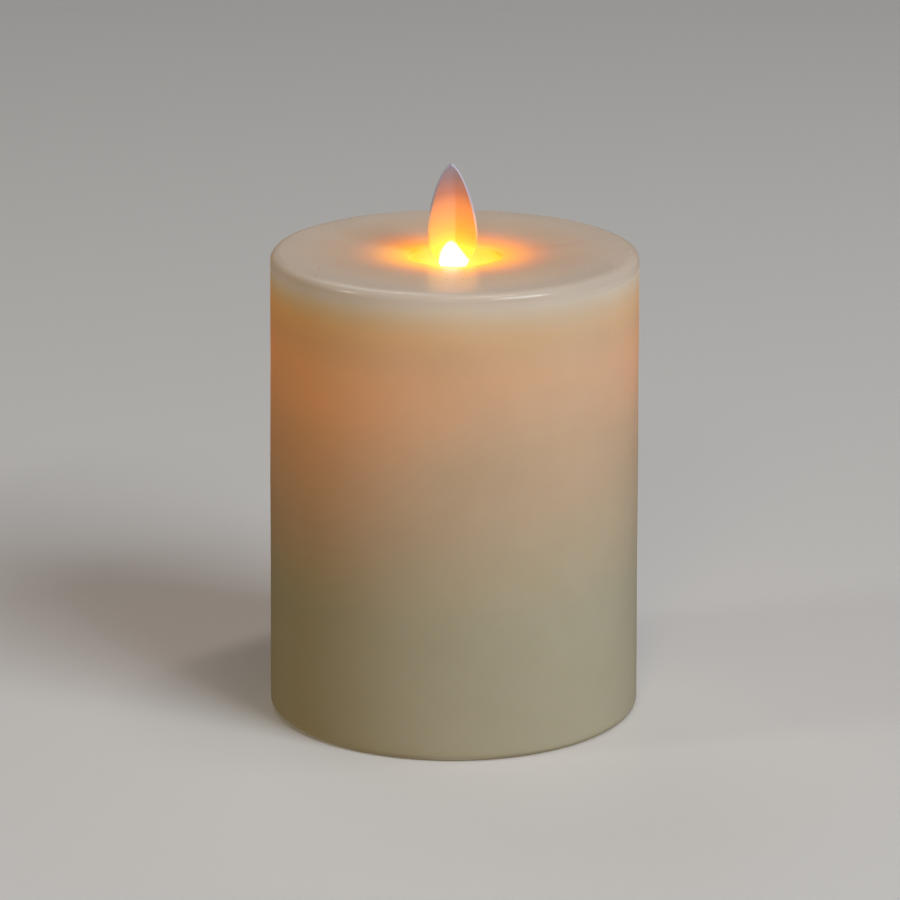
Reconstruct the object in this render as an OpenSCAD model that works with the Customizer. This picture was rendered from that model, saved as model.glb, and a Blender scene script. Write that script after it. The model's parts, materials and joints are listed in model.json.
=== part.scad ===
// Flameless pillar candle: a hollow wax shell around a plastic core that hangs a swinging
// flame blade over a drive coil, on a base that holds two AA cells and a slide switch.
// Millimetres, +Z up. The origin is the centre of the foot, and the lit face looks along -Y.

/* [Wax shell] */
// Height of the wax pillar
wax_h = 105; // [104:0.5:112]
// Outer diameter of the wax at its foot
wax_foot_d = 83.4; // [83:0.2:84.4]
// Outer diameter of the wax at its rim
wax_rim_d = 81.6; // [80:0.2:83]
// Wall thickness of the wax above the base
wax_wall = 6.7; // [6.2:0.1:6.9]
// Diameter of the opening that the flame stands in
throat_d = 20; // [20:0.2:23]
// How far the top falls from the rim to the opening
dish_depth = 1.1; // [0.4:0.1:2]

/* [Flame] */
// Height of the flame's tip above the rim of the wax
flame_h = 19.5; // [15:0.5:24]
// Width of the flame at its widest
flame_w = 11; // [9:0.2:12]
// Thickness of the flame blade
blade_t = 1.3; // [1:0.1:1.5]
// How far each side of the flame folds forward, in degrees
flame_fold = 12; // [4:1:14]
// How far the flame is turned about its stem, in degrees
flame_turn = 8; // [-10:1:10]
// Depth of the pivot wire below the rim
pivot_depth = 17; // [16.5:0.5:18]
// Lean of the blade to the left at rest, in degrees
blade_lean = 1.2; // [-2:0.2:2]

/* [Core] */
// Outer radius of the core tower
core_r = 14; // [13.8:0.1:14.2]
// Wall thickness of the core tower
core_wall = 1.6; // [1.4:0.1:1.8]
// Tilt of the lamp towards the flame, in degrees
lamp_tilt = 22; // [20:1:23]

/* [Base] */
// Radius of the base shell
base_r = 37.1; // [36.9:0.1:37.3]
// How far the base sits above the table
base_recess = 1.2; // [1:0.1:1.4]
// Travel of the slide switch between its end stops
switch_travel = 4; // [3:0.5:4]

/* [Hidden] */
$fn = 64;

gap = 0.1;            // working clearance between fitted pieces
over = 0.5;           // how far a cutter runs past the face it cuts

// Wax
wax_fn = 180;
throat_r = throat_d / 2;
cavity_r = wax_foot_d / 2 - wax_wall - 0.5;
foot_round = 1.5;
rim_round = 1.8;
lip_round = 0.9;
corner_round = 6;
ledge_z = 12;
lip_z = wax_h - dish_depth;

// Core tower
core_in = core_r - core_wall;
core_top = wax_h - 9.6;
cup_t = 1.2;
roof_z = core_top + cup_t + gap;
flange_z = 20;
flange_t = 2.2;
flange_r = 32.5;
shelf_z = 36;
shelf_t = 1.6;
split = 0.02;         // half of the gap between the two halves of the core
boss_y = 16.4;
boss_r = 3.2;
boss_len = 9;
core_boss_z = [34, core_top - 13.4];
core_pilot_r = 1.12;
core_clear_r = 1.25;
head_seat_r = 2.5;
base_pilot_r = 1.32;
standoff_x = 17;
standoff_z = [42, 70];
standoff_r = 2.6;
board_pilot_r = 0.92;

// Flame blade
pivot_z = wax_h - pivot_depth;
wire_r = 0.4;
wire_bore_r = 0.48;
leaf_sunk = 7;        // how far the leaf's foot stands below the rim
leaf_z = wax_h - leaf_sunk;
leaf_h = flame_h + leaf_sunk;
leaf_wide_z = 10.5;
tip_taper = 1.75;     // powers that shape the leaf above and below its widest place
tip_blunt = 0.68;
foot_taper = 1.1;
neck_half = 1.8;
magnet_r = 3;
magnet_t = 2.4;
tail_len = 38;
magnet_z = pivot_z - tail_len;
holder_h = magnet_t + 0.6;

// Lamp
lamp_r = 2.5;
lamp_rim_r = 2.9;
lamp_len = 8.6;
lamp_tip = [0, -5.2, wax_h - 5.8];
lead_x = 1.27;
lead_r = 0.25;
lead_slot_z = [pivot_z - 19, pivot_z - 12];

// Coil
bobbin_z = shelf_z + shelf_t;
bobbin_h = 8;
bobbin_r = 8;

// Circuit board
board_t = 1.2;
board_w = 22;
board_z = [34, 76];
board_face = standoff_x + board_t;

// Wires, by the outer radius of what covers them
wire_cover_r = 0.55;
power_cover_r = 0.6;
coil_lead_r = 0.3;

// Base
plate_t = 2.2;
plate_z = base_recess + plate_t;
skirt_t = 1.8;
cell_r = 7.1;
cell_len = 49.2;
cell_nub_r = 2.7;
cell_nub = 1.3;
cell_y = 7.3;
cell_z = 10.9;
box_half = 28;
box_wall = 1.5;
barrel_r = 7.45;
box_in_y = cell_y + barrel_r;
contact_t = 0.4;
base_boss = [15.5, 25.5];
base_boss_r = 3.4;
screw_web_z = 16;
screw_well_r = 2.6;
screw_hole_r = 1.4;
hinge_x = -26.2;
hinge_z = base_recess + 1.5;
hinge_r = 1.5;
hinge_pin_r = 0.9;
door_t = 2;
door_gap = 0.3;

// Slide switch
switch_y = -25;
switch_z = 5;
switch_h = 5.5;
switch_on_x = -switch_travel / 2;
switch_pilot_r = 0.82;
switch_hole_x = 8;
well = [12.4, 8];

// ---- shared shapes ----

// Points on an arc about c, from one angle to another
function arc(c, r, from, to, steps = 8) =
    [for (i = [0 : steps]) let (a = from + (to - from) * i / steps) c + r * [cos(a), sin(a)]];

function unit(v) = v / norm(v);

// Directions along a path of points
function tangents(p) =
    [for (i = [0 : len(p) - 1]) unit(p[min(i + 1, len(p) - 1)] - p[max(i - 1, 0)])];

// Side vectors that turn as little as they can along the path
function sides(t, last, i = 0, found = []) =
    i == len(t) ? found
    : let (n = unit(last - (last * t[i]) * t[i])) sides(t, n, i + 1, concat(found, [n]));

// A smooth curve through the given points
function spline(p, steps = 5) = concat(
    [for (i = [0 : len(p) - 2], s = [0 : steps - 1])
        let (a = p[max(i - 1, 0)], b = p[i], c = p[i + 1], d = p[min(i + 2, len(p) - 1)], t = s / steps)
        ((2 * b) + (c - a) * t + (2 * a - 5 * b + 4 * c - d) * t * t
            + (3 * b - a - 3 * c + d) * t * t * t) / 2],
    [p[len(p) - 1]]);

// A round bar swept along a path; start is any vector that isn't along its first stretch
module bar(path, r, start = [1, 0, 0], n = 8) {
    t = tangents(path);
    u = sides(t, start);
    last = len(path) - 1;
    polyhedron(
        points = [for (i = [0 : last], k = [0 : n - 1])
            path[i] + r * (cos(360 * k / n) * u[i] + sin(360 * k / n) * cross(t[i], u[i]))],
        faces = concat(
            [[for (k = [0 : n - 1]) k]],
            [[for (k = [0 : n - 1]) last * n + n - 1 - k]],
            [for (i = [0 : last - 1], k = [0 : n - 1]) let (m = (k + 1) % n)
                [i * n + k, (i + 1) * n + k, (i + 1) * n + m, i * n + m]]));
}

// A cylinder along +X or +Y from the given point
module along_x(p, r, len) translate(p) rotate([0, 90, 0]) cylinder(r = r, h = len);
module along_y(p, r, len) translate(p) rotate([-90, 0, 0]) cylinder(r = r, h = len);

// A box from one corner to the opposite one
module block(low, high) translate(low) cube(high - low);

// Puts its children at the four corners of a rectangle
module four(x, y) for (sx = [-1, 1], sy = [-1, 1]) translate([sx * x, sy * y, 0]) children();

// A pan-head screw: the head stands on z = 0 and the shank points down
module pan_screw(r, len, head_r, head_h) {
    difference() {
        union() {
            translate([0, 0, -len]) cylinder(r = r, h = len + over);
            cylinder(r = head_r, h = head_h * 0.6);
            translate([0, 0, head_h * 0.6]) cylinder(r1 = head_r, r2 = head_r * 0.7, h = head_h * 0.4);
        }
        for (a = [0, 90]) rotate(a)
            translate([-head_r * 0.55, -0.2, head_h * 0.45]) cube([head_r * 1.1, 0.4, head_h]);
    }
}

// ---- wax and throat ----

// The top surface, from the rim (0) to the lip of the throat (1)
function dish_point(s) =
    let (outer = wax_rim_d / 2 - rim_round, inner = throat_r + lip_round)
    [outer + (inner - outer) * s, wax_h - dish_depth * s * s];

module wax_shell() {
    dish_steps = 8;
    color("ivory") rotate_extrude($fn = wax_fn) polygon(concat(
        [[base_r + gap, 0]],
        arc([wax_foot_d / 2 - foot_round, foot_round], foot_round, -90, 0),
        arc([wax_rim_d / 2 - rim_round, wax_h - rim_round], rim_round, 0, 90),
        [for (i = [1 : dish_steps]) dish_point(i / dish_steps)],
        arc([throat_r + lip_round, lip_z - lip_round], lip_round, 90, 180),
        [[throat_r, roof_z]],
        arc([cavity_r - corner_round, roof_z - corner_round], corner_round, 90, 0),
        [[cavity_r, ledge_z], [base_r + gap, ledge_z]]));
}

// Places its children on the lamp's axis, with z = 0 at the lamp's tip
module on_lamp_axis() translate(lamp_tip) rotate([-lamp_tilt, 0, 0]) children();

module throat_cup() {
    ring_r = throat_r - 2 * gap;
    ring_t = 0.8;
    ring_h = 3.6;
    slot = [10.4, 4.4];
    color("cornsilk") difference() {
        translate([0, 0, core_top]) union() {
            cylinder(r = core_r, h = cup_t);
            cylinder(r = ring_r, h = ring_h);
        }
        translate([0, 0, core_top + cup_t]) cylinder(r = ring_r - ring_t, h = ring_h);
        translate([-slot.x / 2, -slot.y / 2, core_top - over]) cube([slot.x, slot.y, cup_t + 2 * over]);
        on_lamp_axis() translate([0, 0, -lamp_len]) cylinder(r = lamp_r + 2 * gap, h = lamp_len + 2);
    }
}

// ---- flame ----

// Leans its children about the pivot
module on_pivot() translate([0, 0, pivot_z]) rotate([0, -blade_lean, 0]) translate([0, 0, -pivot_z]) children();

// Half-width of the leaf at a height above its foot
function leaf_half(z) = z > leaf_wide_z
    ? flame_w / 2 * pow(1 - pow((z - leaf_wide_z) / (leaf_h - leaf_wide_z), tip_taper), tip_blunt)
    : neck_half + (flame_w / 2 - neck_half) * (1 + cos(180 * pow(1 - z / leaf_wide_z, foot_taper))) / 2;

module leaf_outline() {
    steps = 28;
    edge = [for (i = [0 : steps - 1]) let (z = leaf_h * sin(90 * i / steps)) [leaf_half(z), z]];
    mirrored = [for (i = [steps - 1 : -1 : 0]) [-edge[i].x, edge[i].y]];
    polygon(concat(edge, [[0, leaf_h]], mirrored));
}

// The leaf's plan section: a shallow V whose two sides come forward
module fold_section() {
    reach = flame_w;
    drop = reach * tan(flame_fold);
    polygon([
        [-reach, -drop - blade_t / 2], [0, -blade_t / 2], [reach, -drop - blade_t / 2],
        [reach, -drop + blade_t / 2], [0, blade_t / 2], [-reach, -drop + blade_t / 2]]);
}

module flame_blade() {
    tail_half = 1.5;
    pivot_boss_r = 2.4;
    pivot_boss_t = 2.4;
    holder_r = magnet_r + 0.9;
    color("linen") on_pivot() difference() {
        union() {
            translate([0, 0, leaf_z]) intersection() {
                linear_extrude(leaf_h) rotate(-flame_turn) fold_section();
                translate([0, flame_w, 0]) rotate([90, 0, 0]) linear_extrude(2 * flame_w) leaf_outline();
            }
            block([-neck_half, -blade_t / 2, pivot_z], [neck_half, blade_t / 2, leaf_z + 1]);
            block([-tail_half, -blade_t / 2, magnet_z + 1], [tail_half, blade_t / 2, pivot_z]);
            along_y([0, -pivot_boss_t / 2, pivot_z], pivot_boss_r, pivot_boss_t);
            translate([0, 0, magnet_z - holder_h / 2]) cylinder(r = holder_r, h = holder_h);
        }
        along_y([0, -pivot_boss_t, pivot_z], wire_bore_r, 2 * pivot_boss_t);
        translate([0, 0, magnet_z - holder_h / 2 - over]) cylinder(r = magnet_r, h = magnet_t + over);
    }
}

module tail_magnet() {
    color("silver") on_pivot() translate([0, 0, magnet_z - holder_h / 2])
        cylinder(r = magnet_r - 0.02, h = magnet_t - 0.02);
}

// The wire runs front to back through the blade, in the split of the core
module pivot_wire() {
    reach = core_r - 0.7;
    color("gray") along_y([0, -reach, pivot_z], wire_r, 2 * reach);
}

// ---- core tower ----

module core_solid() {
    ring_in = bobbin_r + gap;
    difference() {
        union() {
            translate([0, 0, flange_z]) cylinder(r = core_r, h = core_top - flange_z);
            translate([0, 0, flange_z]) cylinder(r = flange_r, h = flange_t);
            four(base_boss.x, base_boss.y) translate([0, 0, flange_z]) cylinder(r = boss_r, h = 8);
        }
        difference() {
            translate([0, 0, flange_z - over]) cylinder(r = core_in, h = core_top - flange_z + 2 * over);
            translate([0, 0, shelf_z]) cylinder(r = core_r, h = shelf_t);
            translate([0, 0, shelf_z]) difference() {
                cylinder(r = ring_in + 1.2, h = shelf_t + 2);
                translate([0, 0, shelf_t]) cylinder(r = ring_in, h = 2 + over);
            }
            lamp_block();
        }
        translate([0, 0, shelf_z - over]) cylinder(r = 3, h = shelf_t + 2 * over);
    }
    for (z = core_boss_z, s = [-1, 1]) difference() {
        along_x([-boss_len, s * boss_y, z], boss_r, 2 * boss_len);
        translate([0, 0, z - 2 * boss_r]) cylinder(r = core_in + over, h = 4 * boss_r);
    }
}

// Moulded block that carries the lamp on the front wall
module lamp_block() {
    block([-3.9, -core_in - over, pivot_z + 1.2], [3.9, -4.6, core_top - 1.2]);
}

// Everything that is cut from both halves alike
module core_cuts() {
    on_lamp_axis() {
        translate([0, 0, -lamp_len]) cylinder(r = lamp_r + gap, h = lamp_len + over);
        translate([0, 0, -lamp_len - 2.4]) cylinder(r = lamp_rim_r + gap, h = 3.5);
    }
    // opening for the lamp's leads, seat of the pivot wire and passage for the blade
    block([-2, -core_in + 0.2, pivot_z - 1], [2, -7.4, pivot_z + 4]);
    along_y([0, -core_r + 0.6, pivot_z], wire_r + 0.03, 2 * (core_r - 0.6));
    block([-5, -3, pivot_z], [5, 3, core_top + over]);
    // screw pilots
    for (z = core_boss_z, s = [-1, 1]) along_x([-boss_len - over, s * boss_y, z], core_pilot_r, 2 * boss_len - 1);
    four(base_boss.x, base_boss.y) translate([0, 0, flange_z - over]) cylinder(r = base_pilot_r, h = 7.5);
}

module core_left() {
    head_seat = 2.6;
    color("whitesmoke") difference() {
        intersection() {
            core_solid();
            block([-50, -50, 0], [-split, 50, wax_h]);
        }
        core_cuts();
        for (z = core_boss_z, s = [-1, 1]) {
            along_x([-boss_len - over, s * boss_y, z], head_seat_r, head_seat + over);
            along_x([-boss_len - over, s * boss_y, z], core_clear_r, boss_len + 1);
        }
    }
}

module core_right() {
    color("whitesmoke") difference() {
        intersection() {
            union() {
                core_solid();
                for (z = standoff_z) along_x([core_in + 0.4, 0, z], standoff_r, standoff_x - core_in - 0.4);
            }
            block([split, -50, 0], [50, 50, wax_h]);
        }
        core_cuts();
        for (z = standoff_z) along_x([core_in, 0, z], board_pilot_r, 6);
        // notch above the battery contacts, hole for the switch wires, and the lamp and coil wire slots
        block([24.5, -10.5, flange_z - over], [flange_r + over, 10.5, flange_z + flange_t + over]);
        translate([5, -25, flange_z - over]) cylinder(r = 3.5, h = flange_t + 2 * over);
        block([-over, -core_r - over, lead_slot_z[0]], [8, -core_in + 2, lead_slot_z[1]]);
        block([core_in - 1, -4, 27], [core_r + over, 4, 32]);
    }
}

module core_screws() {
    color("silver") for (z = core_boss_z, s = [-1, 1])
        translate([-boss_len + 2.6, s * boss_y, z]) rotate([0, -90, 0]) pan_screw(1.1, 13, 2.3, 1.7);
}

// ---- lamp ----

module led_lamp() {
    color("lightyellow") on_lamp_axis() {
        translate([0, 0, -lamp_r]) intersection() {
            sphere(r = lamp_r);
            cylinder(r = lamp_r + over, h = lamp_r + over);
        }
        translate([0, 0, -lamp_len]) cylinder(r = lamp_r, h = lamp_len - lamp_r);
        translate([0, 0, -lamp_len]) cylinder(r = lamp_rim_r, h = 1);
    }
}

lamp_down = [0, -sin(lamp_tilt), -cos(lamp_tilt)];
lead_top = lamp_tip + (lamp_len + 0.03) * lamp_down;
lead_end = [0, -10.6, pivot_z - 8];

module led_leads() {
    color("silver") for (s = [-1, 1]) translate([s * lead_x, 0, 0])
        bar(spline([lead_top, lead_top + 1.4 * lamp_down, lead_end + [0, 0, 6], lead_end]), lead_r);
}

// ---- coil ----

module coil_bobbin() {
    cheek = 1;
    color("white") translate([0, 0, bobbin_z]) difference() {
        union() {
            cylinder(r = 3, h = bobbin_h);
            for (z = [0, bobbin_h - cheek]) translate([0, 0, z]) cylinder(r = bobbin_r, h = cheek);
        }
        translate([0, 0, -over]) cylinder(r = 1.6, h = bobbin_h + 2 * over);
    }
}

module coil_winding() {
    color("peru") translate([0, 0, bobbin_z + 1.05]) difference() {
        cylinder(r = 7.2, h = bobbin_h - 2.1);
        translate([0, 0, -over]) cylinder(r = 3.05, h = bobbin_h + over);
    }
}

// ---- circuit board and its components ----

module circuit_board() {
    color("seagreen") difference() {
        block([standoff_x, -board_w / 2, board_z[0]], [board_face, board_w / 2, board_z[1]]);
        for (z = standoff_z) along_x([standoff_x - over, 0, z], 1.05, 3);
    }
}

module board_screws() {
    color("silver") for (z = standoff_z)
        translate([board_face, 0, z]) rotate([0, 90, 0]) pan_screw(0.9, 4.6, 1.9, 1.3);
}

// A small-outline package with gull-wing legs, flat on the board
module outline_chip(y, z, wide, tall, high, legs, pitch) {
    leg_w = 0.4;
    translate([board_face, y, z]) {
        block([0.1, -wide / 2, -tall / 2], [high, wide / 2, tall / 2]);
        for (i = [0 : legs - 1], s = [-1, 1])
            translate([0, s * wide / 2, (i - (legs - 1) / 2) * pitch]) union() {
                block([0, min(0, s * 1.1), -leg_w / 2], [0.25, max(0, s * 1.1), leg_w / 2]);
                block([0, -0.2, -leg_w / 2], [high / 2, 0.2, leg_w / 2]);
            }
    }
}

module controller_chip() {
    color("dimgray") outline_chip(0, 57, 3.9, 8.6, 1.5, 7, 1.27);
}

module drive_transistors() {
    color("dimgray") for (z = [49, 64.5]) outline_chip(-6.8, z, 1.4, 2.9, 1.1, 2, 1.9);
}

module board_capacitor() {
    can_r = 2.5;
    can_h = 7.5;
    color("steelblue") difference() {
        along_x([board_face + 0.3, 7, 64], can_r, can_h);
        difference() {
            along_x([board_face + 1.4, 7, 64], can_r + over, 0.6);
            along_x([board_face + 1.2, 7, 64], can_r - 0.25, 1);
        }
    }
}

module timer_crystal() {
    color("silver") translate([board_face + 1.1, 7, 48]) {
        cylinder(r = 1, h = 6);
        translate([0, 0, -0.4]) cylinder(r = 0.8, h = 1);
    }
}

module board_resistors() {
    color("black") for (p = [[-7.5, 55.5], [-7.5, 59], [5.6, 43], [-5.6, 43], [4.4, 72.5]])
        translate([board_face, p.x, p.y]) block([0, -1, -0.65], [0.55, 1, 0.65]);
}

// ---- wires ----

// The pads at the foot of the board, left to right
function pad(y) = [board_face + 0.65, y, board_z[0] + 2];

module lamp_wire(s, pad_z) {
    slot_y = -core_r - 1.4;
    bar(spline([
        lead_end + [s * lead_x, 0, -0.1],
        lead_end + [s * lead_x + 0.6, 0.2, -4],
        [2.6 + 1.2 * s, -core_in - 0.4, lead_slot_z[0] + 4.4 + 0.8 * s],
        [7 + s, slot_y, lead_slot_z[0] + 2 + s],
        [15.5, -14.4, pad_z + 2],
        [19.9, -12.9, pad_z + 0.8],
        [board_face + 0.75, -9.4, pad_z]]), wire_cover_r);
}

module led_wire_red() color("firebrick") lamp_wire(-1, 66.5);
module led_wire_black() color("black") lamp_wire(1, 70);

module coil_wires() {
    color("goldenrod") for (s = [-1, 1])
        bar(spline([
            [0, s * 1.6, bobbin_z - 0.1], [1.5, s * 1.8, 33], [8, s * 2.2, 29.6],
            [15, s * 2.4, 29.8], [board_face + 1.6, s * 2.2, 32.6], pad(s * 2.2)]), coil_lead_r);
}

module battery_wire(s) {
    bar(spline([
        [box_half - contact_t - 0.62, s * cell_y, flange_z - 0.2],
        [box_half - 1.4, s * cell_y, flange_z + 5],
        [23.6, s * 6.8, 31],
        pad(s * 5.4)]), power_cover_r);
}

module battery_wire_red() color("firebrick") battery_wire(-1);
module battery_wire_black() color("black") battery_wire(1);

module switch_wires() {
    color("gainsboro") for (s = [-1, 1])
        bar(spline([
            [s * 2, switch_y, switch_z + switch_h + 2.7],
            [4 + 1.2 * s, switch_y, flange_z - 1],
            [5 + 1.2 * s, switch_y + 0.6, flange_z + 4],
            [12 + s, -19.6, 32],
            [18 + s, -14, 37 + 1.5 * s],
            [20.4, -12, 39.8 + 2.2 * s],
            [board_face + 0.75, -8.6, 41 + 2.4 * s]]), wire_cover_r);
}

// ---- base ----

// The battery box: two barrels side by side with straight walls below them
module box_shape(r, half_x, low) {
    for (s = [-1, 1]) along_x([-half_x, s * cell_y, cell_z], r, 2 * half_x);
    block([-half_x, -cell_y - r, low], [half_x, cell_y + r, cell_z]);
    block([-half_x, -cell_y, low], [half_x, cell_y, cell_z + r * 0.5]);
}

module base_shell() {
    floor_t = switch_z - plate_z;
    color("antiquewhite") difference() {
        union() {
            translate([0, 0, base_recess]) cylinder(r = base_r, h = plate_t);
            translate([0, 0, base_recess]) difference() {
                cylinder(r = base_r, h = ledge_z - base_recess - gap);
                translate([0, 0, -over]) cylinder(r = base_r - skirt_t, h = ledge_z);
            }
            box_shape(barrel_r + box_wall, box_half + box_wall, base_recess);
            four(base_boss.x, base_boss.y) translate([0, 0, base_recess])
                cylinder(r = base_boss_r, h = flange_z - base_recess);
            translate([0, switch_y, plate_z - over]) block([-10.5, -5, 0], [10.5, 5, floor_t + over]);
        }
        box_shape(barrel_r, box_half, base_recess - over);
        // slots that let the contact tabs out of the box
        for (s = [-1, 1]) block(
            [box_half - 2.4, s * cell_y - 1.8, cell_z], [box_half, s * cell_y + 1.8, flange_z + over]);
        four(base_boss.x, base_boss.y) {
            cylinder(r = screw_well_r, h = screw_web_z);
            cylinder(r = screw_hole_r, h = flange_z + over);
        }
        // hinge sockets and the pocket for the latch
        for (s = [-1, 1]) along_y(
            [hinge_x, s > 0 ? box_in_y - over : -box_in_y - 1.4, hinge_z], hinge_pin_r + 0.07, 1.4 + over);
        block([box_half - over, -5.5, 4.6], [box_half + 0.9, 5.5, 6]);
        // switch well, knob slot and pilot holes
        translate([0, switch_y, 0]) {
            block([-well.x / 2, -well.y / 2, 0], [well.x / 2, well.y / 2, plate_z]);
            block([-4.6, -2.4, 0], [4.6, 2.4, switch_z + over]);
            for (s = [-1, 1]) translate([s * switch_hole_x, 0, 2.2]) cylinder(r = switch_pilot_r, h = 4);
        }
    }
}

module base_screws() {
    color("silver") four(base_boss.x, base_boss.y) translate([0, 0, screw_web_z])
        rotate([180, 0, 0]) pan_screw(1.3, 10, 2.3, 1.7);
}

module battery_door() {
    half_y = box_in_y - door_gap;
    end_x = box_half - door_gap;
    tongue_x = box_half - 2;
    color("antiquewhite") difference() {
        union() {
            block([hinge_x, -half_y, base_recess], [end_x, half_y, base_recess + door_t]);
            along_y([hinge_x, -half_y, hinge_z], hinge_r, 2 * half_y);
            along_y([hinge_x, -box_in_y - 1.2, hinge_z], hinge_pin_r, 2 * box_in_y + 2.4);
            block([tongue_x, -5, base_recess + 1], [tongue_x + 1.2, 5, 6.4]);
            block([tongue_x + 1, -5, 4.8], [box_half - gap, 5, 5.8]);
        }
        // finger scoop over the latch, and grip grooves
        translate([end_x - 4.5, 0, base_recess - 7.2]) rotate([0, 90, 0]) cylinder(r = 8.2, h = 6);
        for (i = [0 : 3]) along_y([end_x - 8 - 2.4 * i, -6, base_recess - 0.25], 0.6, 12);
    }
}

// ---- cells and contacts ----

// dir is +1 when the raised pole points to +X
module cell(y, dir) {
    bead = 0.35;
    skirt = 1.2;
    body_x = -24.2;
    translate([0, y, cell_z]) mirror([dir > 0 ? 0 : 1, 0, 0]) {
        along_x([body_x + bead, 0, 0], cell_r, cell_len - 2 * bead);
        along_x([body_x, 0, 0], cell_r - skirt, cell_len);
        along_x([body_x + cell_len - over, 0, 0], cell_nub_r, cell_nub + over);
    }
}

module battery_front() color("dimgray") cell(-cell_y, 1);
module battery_rear() color("dimgray") cell(cell_y, -1);

contact_z = [6.2, 14.4];

// A plate on the inside of an end wall; side is the wall, +1 or -1
module end_plate(side, y0, y1) {
    x = side * (box_half - contact_t / 2);
    block([x - contact_t / 2, y0, contact_z[0]], [x + contact_t / 2, y1, contact_z[1]]);
}

// The pressed dimple that meets a raised pole
module dimple(side, y) {
    high = 26.4;
    inner = box_half - contact_t;
    translate([side * inner, y, cell_z]) rotate([0, side * -90, 0])
        cylinder(r1 = 3.6, r2 = 2.4, h = inner - high);
}

// The tab that rises out of the box for a wire
module solder_tab(y) block([box_half - contact_t, y - 1.5, contact_z[1] - 1], [box_half, y + 1.5, flange_z + 1.4]);

module positive_contact() {
    color("silver") {
        end_plate(1, -cell_y - 4.5, -cell_y + 4.5);
        dimple(1, -cell_y);
        solder_tab(-cell_y);
    }
}

module negative_contact() {
    color("silver") {
        end_plate(1, cell_y - 4.5, cell_y + 4.5);
        solder_tab(cell_y);
    }
}

module bridge_contact() {
    color("silver") {
        end_plate(-1, -cell_y - 4.5, cell_y + 4.5);
        dimple(-1, cell_y);
    }
}

// A tapering coil spring from an end plate to a cell's flat pole
module cell_spring(side, y) {
    turns = 3;
    steps = 48;
    from_x = box_half - contact_t - 0.42;
    to_x = 24.64;
    bar([for (i = [0 : steps]) let (a = 360 * turns * i / steps, s = i / steps, r = 4.6 - 1.6 * s)
        [side * (from_x + (to_x - from_x) * s), y + r * cos(a), cell_z + r * sin(a)]], 0.38, [0, 1, 0]);
}

module contact_springs() {
    color("silver") {
        cell_spring(-1, -cell_y);
        cell_spring(1, cell_y);
    }
}

// ---- slide switch ----

module switch_frame() {
    color("silver") translate([0, switch_y, switch_z]) difference() {
        union() {
            block([-6.2, -3, 0], [6.2, 3, switch_h]);
            block([-9.8, -2.4, 0], [9.8, 2.4, 0.5]);
        }
        block([-5.8, -2.6, 0.4], [5.8, 2.6, switch_h - 0.8]);
        block([-4.6, -2.3, -over], [4.6, 2.3, 1]);
        for (s = [-1, 1]) translate([s * switch_hole_x, 0, -over]) cylinder(r = 0.95, h = 2);
        for (s = [-3 : 2 : 3]) translate([s, 0, switch_h - 1]) cylinder(r = 0.45, h = 2);
    }
}

module switch_slider() {
    half_x = 2;
    half_y = 1.9;
    color("black") translate([switch_on_x, switch_y, 0]) difference() {
        union() {
            block([-half_x, -half_y, 1.7], [half_x, half_y, switch_z + 1]);
            block([-3.2, -2.4, switch_z + 0.5], [3.2, 2.4, switch_z + 1.7]);
        }
        for (x = [-1.2 : 0.8 : 1.2]) along_y([x, -half_y - over, 1.6], 0.25, 2 * half_y + 2 * over);
    }
}

module switch_terminals() {
    color("gold") translate([0, switch_y, switch_z + switch_h - 1.4])
        for (x = [-3 : 2 : 3]) translate([x, 0, 0]) cylinder(r = 0.4, h = 4);
}

module switch_screws() {
    color("silver") for (s = [-1, 1]) translate([s * switch_hole_x, switch_y, switch_z + 0.5])
        pan_screw(0.8, 3.2, 1.5, 1);
}

wax_shell();
throat_cup();
flame_blade();
tail_magnet();
pivot_wire();
core_left();
core_right();
core_screws();
led_lamp();
led_leads();
coil_bobbin();
coil_winding();
circuit_board();
board_screws();
controller_chip();
board_capacitor();
timer_crystal();
drive_transistors();
board_resistors();
led_wire_red();
led_wire_black();
coil_wires();
battery_wire_red();
battery_wire_black();
switch_wires();
base_shell();
base_screws();
battery_door();
battery_front();
battery_rear();
positive_contact();
negative_contact();
bridge_contact();
contact_springs();
switch_frame();
switch_slider();
switch_terminals();
switch_screws();
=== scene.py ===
import json
import math

import bmesh
import bpy
from mathutils import Euler, Matrix, Vector, noise

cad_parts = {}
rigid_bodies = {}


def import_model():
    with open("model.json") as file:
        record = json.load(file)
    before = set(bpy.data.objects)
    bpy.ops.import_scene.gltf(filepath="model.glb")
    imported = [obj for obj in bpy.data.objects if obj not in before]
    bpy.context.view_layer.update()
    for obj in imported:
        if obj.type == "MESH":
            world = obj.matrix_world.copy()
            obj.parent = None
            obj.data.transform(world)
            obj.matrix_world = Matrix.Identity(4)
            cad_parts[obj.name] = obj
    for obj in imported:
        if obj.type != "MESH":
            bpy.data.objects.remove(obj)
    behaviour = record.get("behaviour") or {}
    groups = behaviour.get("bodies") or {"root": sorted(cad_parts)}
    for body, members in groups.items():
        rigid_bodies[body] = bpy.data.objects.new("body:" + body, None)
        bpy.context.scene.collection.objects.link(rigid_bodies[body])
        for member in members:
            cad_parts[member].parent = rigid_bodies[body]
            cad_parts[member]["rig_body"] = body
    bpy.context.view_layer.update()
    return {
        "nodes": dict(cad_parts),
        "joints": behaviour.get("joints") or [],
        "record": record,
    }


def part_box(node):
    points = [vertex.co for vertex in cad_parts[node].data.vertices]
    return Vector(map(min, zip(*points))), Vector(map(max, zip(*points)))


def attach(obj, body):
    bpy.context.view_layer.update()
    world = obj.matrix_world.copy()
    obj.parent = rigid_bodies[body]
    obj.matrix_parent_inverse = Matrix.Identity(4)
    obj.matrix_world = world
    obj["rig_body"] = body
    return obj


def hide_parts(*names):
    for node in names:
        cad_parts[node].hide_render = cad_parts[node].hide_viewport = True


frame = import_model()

nodes = frame["nodes"]
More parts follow.
